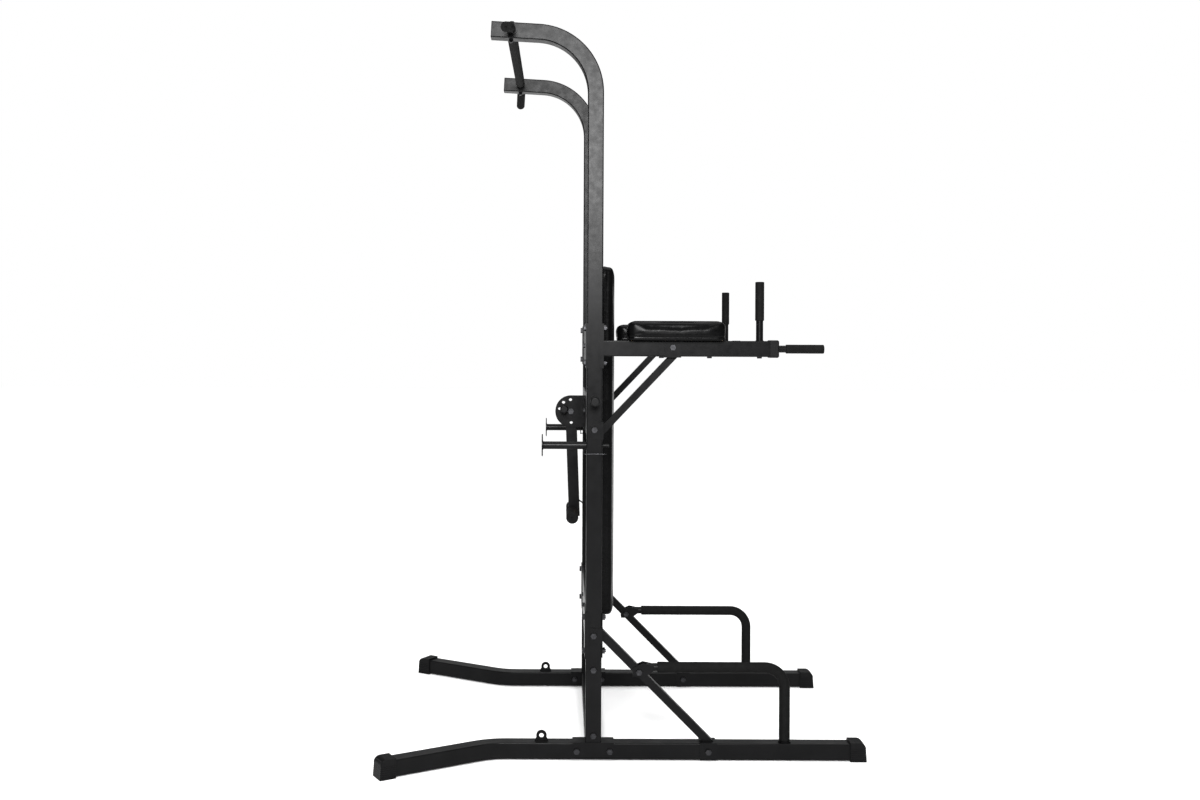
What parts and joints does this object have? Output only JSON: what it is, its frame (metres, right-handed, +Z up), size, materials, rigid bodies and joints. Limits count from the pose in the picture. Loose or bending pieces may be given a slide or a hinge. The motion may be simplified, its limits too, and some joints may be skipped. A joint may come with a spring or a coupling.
{
  "type": "power tower",
  "caption": "Free-standing power tower with a pull-up bar, padded dip arms, back pad, push-up bars, swing-up foot bar and removable rack pegs.",
  "frame": {"origin": "middle of the footprint on the floor", "axes": "+X front (dip arms and push-up bars), +Y the user's left, +Z up"},
  "size_m": [1.5286, 1.2684, 2.326],
  "materials": {
    "black_paint": "satin black powder coat",
    "plastic": "moulded black plastic",
    "foam": "closed-cell foam grip",
    "vinyl": "grained black vinyl upholstery",
    "dark_steel": "black zinc plated",
    "plywood": "raw plywood"
  },
  "bodies": {
    "frame": {"arm_brace_left": "black_paint", "arm_brace_right": "black_paint", "arm_pad_boards": "plywood", "arm_pad_left": "vinyl", "arm_pad_right": "vinyl", "back_pad": "vinyl", "back_pad_board": "plywood", "band_eyelets": "black_paint", "bar_lock_bolts": "dark_steel", "base_bolts": "dark_steel", "base_brace_left": "black_paint", "base_brace_right": "black_paint", "base_crossbar": "black_paint", "beam_bolts": "dark_steel", "brace_bolts": "dark_steel", "crossbeam_bottom": "black_paint", "crossbeam_middle": "black_paint", "crossbeam_top": "black_paint", "dip_arm_caps": "plastic", "dip_arm_left": "black_paint", "dip_arm_right": "black_paint", "dip_grip_foams": "foam", "foot_front_left": "plastic", "foot_front_right": "plastic", "foot_rear_left": "plastic", "foot_rear_right": "plastic", "pad_screws": "dark_steel", "pop_pin_barrels": "dark_steel", "post_joint_sleeves": "black_paint", "post_lower_left": "black_paint", "post_lower_right": "black_paint", "post_saddle_left": "black_paint", "post_saddle_right": "black_paint", "post_upper_left": "black_paint", "post_upper_right": "black_paint", "pull_up_arm_plugs": "plastic", "pull_up_bar": "black_paint", "pull_up_collars": "black_paint", "pull_up_end_grips": "foam", "pull_up_sleeve": "foam", "push_up_bar_left": "black_paint", "push_up_bar_right": "black_paint", "push_up_foam_left": "foam", "push_up_foam_right": "foam", "rail_left": "black_paint", "rail_right": "black_paint", "swing_bracket": "black_paint", "swing_pivot_bolt": "dark_steel", "upright_grip_foams": "foam", "upright_handles": "black_paint"},
    "swing_arm": {"swing_arm_tube": "black_paint", "swing_arm_foot_bar": "black_paint", "swing_arm_grips": "foam"},
    "lock_pin": {"swing_lock_pin": "plastic"},
    "right_pop_pin": {"pop_pin_right": "plastic"},
    "left_pop_pin": {"pop_pin_left": "plastic"},
    "right_peg": {"rack_peg_right": "black_paint"},
    "left_peg": {"rack_peg_left": "black_paint"},
    "right_clip": {"peg_clip_right": "dark_steel"},
    "left_clip": {"peg_clip_left": "dark_steel"}
  },
  "joints": [
    {"name": "swing_arm_pivot", "type": "hinge", "parent": "frame", "child": "swing_arm", "pos_m": [-0.1671, 0, 1.073], "axis": [0, 1, 0], "range_deg": [0, 180]},
    {"name": "lock_pin_pull", "type": "slide", "parent": "frame", "child": "lock_pin", "axis": [0, -1, 0], "range_m": [0, 0.012], "stiffness_N_per_m": 400, "springref_m": -0.006},
    {"name": "right_pop_pin_pull", "type": "slide", "parent": "frame", "child": "right_pop_pin", "axis": [0, -1, 0], "range_m": [0, 0.01], "stiffness_N_per_m": 400, "springref_m": -0.006},
    {"name": "left_pop_pin_pull", "type": "slide", "parent": "frame", "child": "left_pop_pin", "axis": [0, 1, 0], "range_m": [0, 0.01], "stiffness_N_per_m": 400, "springref_m": -0.006},
    {"name": "right_peg_slide", "type": "slide", "parent": "frame", "child": "right_peg", "axis": [-1, 0, 0], "range_m": [0, 0.08]},
    {"name": "left_peg_slide", "type": "slide", "parent": "frame", "child": "left_peg", "axis": [-1, 0, 0], "range_m": [0, 0.08]},
    {"name": "right_clip_swing", "type": "hinge", "parent": "right_peg", "child": "right_clip", "pos_m": [-0.127, -0.4175, 0.963], "axis": [0, 0, -1], "range_deg": [0, 75]},
    {"name": "left_clip_swing", "type": "hinge", "parent": "left_peg", "child": "left_clip", "pos_m": [-0.127, 0.4175, 0.963], "axis": [0, 0, 1], "range_deg": [0, 75]}
  ],
  "couplings": [
    {"joint": "right_clip_swing", "follows": "right_peg_slide", "rad_per_m": 15.27},
    {"joint": "left_clip_swing", "follows": "left_peg_slide", "rad_per_m": 15.27}
  ]
}
